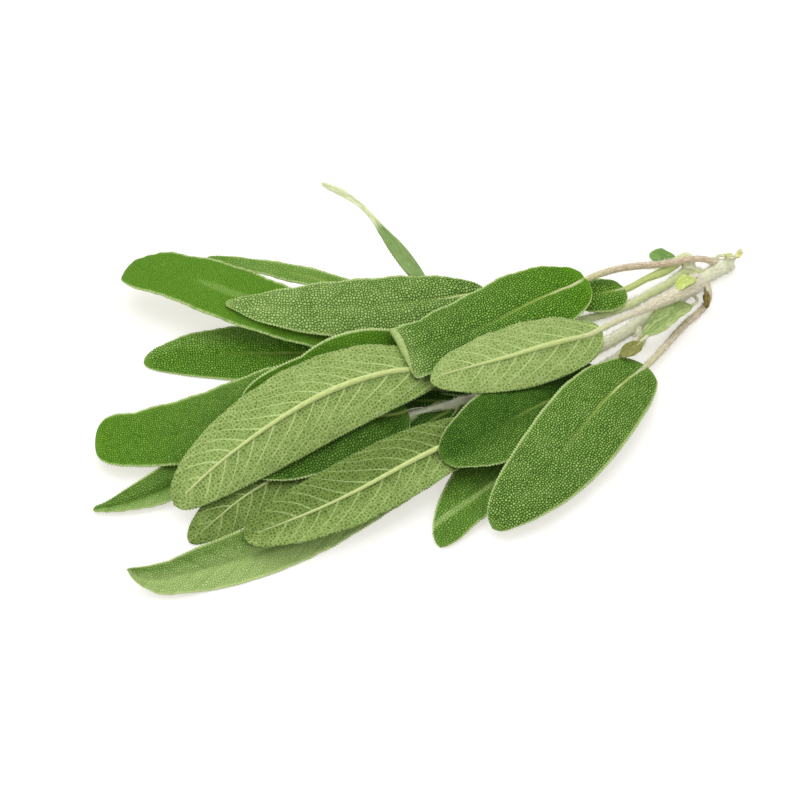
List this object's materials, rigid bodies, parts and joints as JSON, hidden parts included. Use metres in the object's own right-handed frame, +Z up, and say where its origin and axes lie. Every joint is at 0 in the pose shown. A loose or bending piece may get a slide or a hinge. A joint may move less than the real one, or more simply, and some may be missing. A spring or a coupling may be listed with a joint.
{
  "type": "sage bunch",
  "caption": "Bunch of fresh sage lying flat: long felty leaves, some face up and some turned over, fanned out from woolly stems whose cut ends lie together.",
  "frame": {"origin": "on the table, under the middle of the bunch's box", "axes": "+Z up; +X runs from the leaf tips toward the cut stem ends, which lie at +X +Y"},
  "size_m": [0.185, 0.1342, 0.0308],
  "materials": {
    "leaf_face": "felty, pebbled, mid green",
    "leaf_underside": "felty, netted with raised veins, pale grey-green",
    "young_leaf": "soft, light yellow-green",
    "woolly_stem": "covered in short pale wool, faint pinkish brown",
    "dry_bud": "dry, matt brown"
  },
  "bodies": {
    "root": {"stem_long": "woolly_stem", "stem_back": "woolly_stem", "stem_side": "woolly_stem", "leaf_left_low": "leaf_face", "leaf_left_pointed": "leaf_face", "leaf_front_low": "leaf_face", "leaf_front_small": "leaf_face", "leaf_small_turned": "leaf_underside", "leaf_back_narrow": "leaf_face", "leaf_back_left": "leaf_face", "leaf_left_broad": "leaf_face", "leaf_under_middle": "leaf_face", "leaf_front_long": "leaf_underside", "leaf_centre_dark": "leaf_face", "leaf_front_right": "leaf_face", "leaf_young_folded": "young_leaf", "leaf_back_upright": "young_leaf", "leaf_back_large": "leaf_face", "leaf_middle_rim": "leaf_face", "leaf_large_turned": "leaf_underside", "leaf_tiny_back": "leaf_face", "leaf_round_small": "leaf_face", "leaf_right_arched": "leaf_face", "leaf_middle_turned": "leaf_underside", "leaf_young_bright": "young_leaf", "leaf_young_olive": "young_leaf", "bud_side": "dry_bud", "bract_end_far": "young_leaf", "bract_end_near": "young_leaf"}
  },
  "joints": []
}
